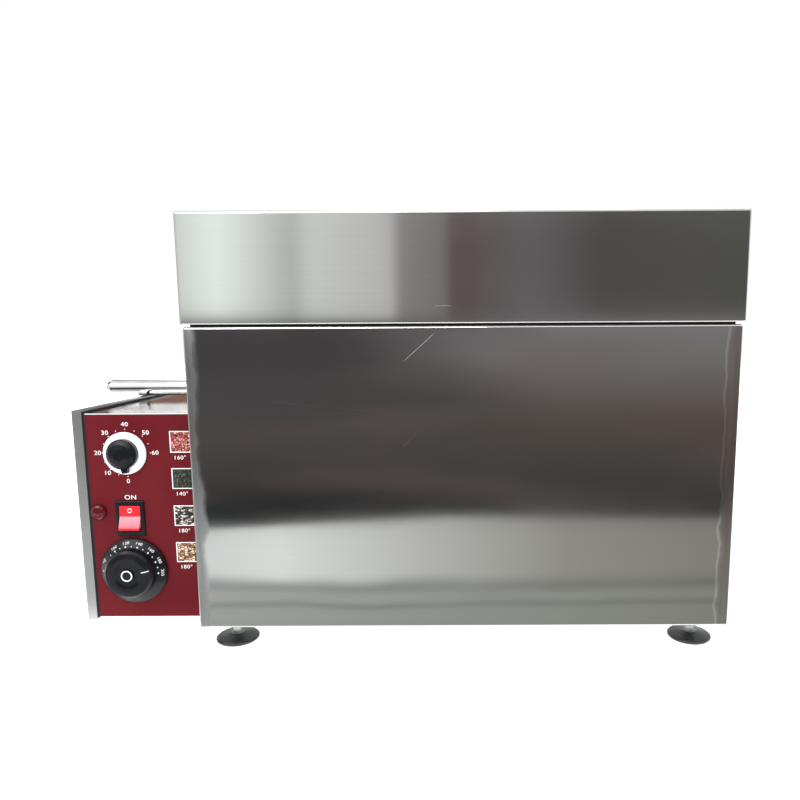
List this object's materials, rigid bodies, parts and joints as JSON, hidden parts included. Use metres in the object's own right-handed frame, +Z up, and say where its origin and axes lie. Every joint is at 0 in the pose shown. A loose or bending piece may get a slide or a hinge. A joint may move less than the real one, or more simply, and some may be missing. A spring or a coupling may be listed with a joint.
{
  "type": "chestnut roaster",
  "caption": "Table-top electric chestnut roaster: lidded insulated steel box, geared lift-out drum with sliding hatch, side control box, levelling feet.",
  "frame": {"origin": "on the floor, in the middle of the whole outline seen from above", "axes": "+Z up; the control panel and the plain casing front face -Y; +X to the right seen from the front, so the control box is on the -X side"},
  "size_m": [0.646, 0.3202, 0.371],
  "materials": {
    "brushed_steel": "vertical and horizontal brushed stainless, satin",
    "plain_steel": "mill-finish stainless sheet",
    "chamber_steel": "stainless, heat-tinted",
    "control_steel": "bright stainless sheet",
    "dark_steel": "dark, in shadow",
    "drum_steel": "stainless drum, heat-tinted",
    "polished_steel": "polished",
    "gear_steel": "machined steel",
    "zinc_steel": "zinc plated",
    "bronze": "turned bronze",
    "copper": "drawn copper",
    "heater_sheath": "oxidised sheath",
    "ceramic": "glazed ceramic and plated studs",
    "mineral_wool": "pressed wool",
    "cast_alloy": "cast",
    "motor_enamel": "dark enamel",
    "red_panel": "printed red panel",
    "black_plastic": "black moulded",
    "white_plastic": "white moulded",
    "rocker_red": "translucent red",
    "lamp_red": "red lens",
    "black_rubber": "silicone strip",
    "foot_black": "black moulded foot on a plated stud"
  },
  "bodies": {
    "casing": {"outer_casing": "brushed_steel", "base_plate": "plain_steel", "inner_liner": "chamber_steel", "wall_insulation": "mineral_wool", "floor_insulation": "mineral_wool", "rim_frame": "brushed_steel", "notch_liners": "plain_steel", "shaft_saddles": "bronze", "foot_bushes": "plain_steel", "foot_lock_nuts": "zinc_steel", "drive_sleeve": "bronze", "gearbox": "cast_alloy", "drive_motor": "motor_enamel", "heater_tubes": "heater_sheath", "heater_terminals": "ceramic", "heater_cradle": "chamber_steel", "sensor_bulb": "copper", "capillary_tube": "copper", "hinge_body_leaves": "plain_steel", "hinge_pins": "zinc_steel", "control_side_cover": "control_steel", "control_frame": "dark_steel", "control_front_panel": "red_panel", "control_back_cover": "control_steel", "control_bottom_plate": "plain_steel", "cable_gland": "black_plastic", "cover_screws": "zinc_steel", "terminal_block": "white_plastic", "timer_body": "black_plastic", "switch_housing": "black_plastic", "lamp_lens": "lamp_red", "lamp_holder": "black_plastic", "thermostat_body": "zinc_steel"},
    "lid": {"lid_shell": "brushed_steel", "lid_liner": "chamber_steel", "lid_insulation": "mineral_wool", "lid_gasket": "black_rubber", "hinge_lid_leaves": "plain_steel"},
    "drum": {"drum_shell": "drum_steel", "drum_end_left": "drum_steel", "drum_end_right": "drum_steel", "shaft_rod": "polished_steel", "shaft_stub": "polished_steel", "mixing_flights": "drum_steel", "hatch_rails": "drum_steel", "ring_gear": "gear_steel", "gear_spacers": "zinc_steel"},
    "hatch": {"hatch_door": "drum_steel"},
    "pinion": {"pinion_gear": "gear_steel", "drive_shaft": "polished_steel"},
    "timer": {"timer_skirt": "white_plastic", "timer_knob": "black_plastic", "timer_spindle": "zinc_steel"},
    "thermostat": {"thermostat_dial": "black_plastic", "thermostat_spindle": "zinc_steel"},
    "rocker": {"rocker": "rocker_red"},
    "foot_fl": {"foot_front_left": "foot_black"},
    "foot_fr": {"foot_front_right": "foot_black"},
    "foot_rl": {"foot_rear_left": "foot_black"},
    "foot_rr": {"foot_rear_right": "foot_black"}
  },
  "joints": [
    {"name": "lid_hinge", "type": "hinge", "parent": "casing", "child": "lid", "pos_m": [0.048, 0.1566, 0.28], "axis": [-1, 0, 0], "range_deg": [0, 95]},
    {"name": "drum_spin", "type": "hinge", "parent": "casing", "child": "drum", "pos_m": [0.048, -0.0036, 0.2165], "axis": [1, 0, 0], "continuous": true},
    {"name": "pinion_spin", "type": "hinge", "parent": "casing", "child": "pinion", "pos_m": [-0.152, -0.0036, 0.1205], "axis": [1, 0, 0], "continuous": true},
    {"name": "hatch_slide", "type": "hinge", "parent": "drum", "child": "hatch", "pos_m": [0.048, -0.0036, 0.2165], "axis": [-1, 0, 0], "range_deg": [0, 62]},
    {"name": "timer_turn", "type": "hinge", "parent": "casing", "child": "timer", "pos_m": [-0.2479, -0.1331, 0.17], "axis": [0, 1, 0], "range_deg": [0, 270]},
    {"name": "thermostat_turn", "type": "hinge", "parent": "casing", "child": "thermostat", "pos_m": [-0.2467, -0.1331, 0.0634], "axis": [0, 1, 0], "range_deg": [-92, 145]},
    {"name": "rocker_tilt", "type": "hinge", "parent": "casing", "child": "rocker", "pos_m": [-0.2473, -0.1326, 0.111], "axis": [1, 0, 0], "range_deg": [0, 26]},
    {"name": "foot_fl_screw", "type": "slide", "parent": "casing", "child": "foot_fl", "axis": [0, 0, -1], "range_m": [-0.003, 0.008]},
    {"name": "foot_fr_screw", "type": "slide", "parent": "casing", "child": "foot_fr", "axis": [0, 0, -1], "range_m": [-0.003, 0.008]},
    {"name": "foot_rl_screw", "type": "slide", "parent": "casing", "child": "foot_rl", "axis": [0, 0, -1], "range_m": [-0.003, 0.008]},
    {"name": "foot_rr_screw", "type": "slide", "parent": "casing", "child": "foot_rr", "axis": [0, 0, -1], "range_m": [-0.003, 0.008]}
  ],
  "couplings": [
    {"joint": "pinion_spin", "follows": "drum_spin", "ratio": -3}
  ]
}
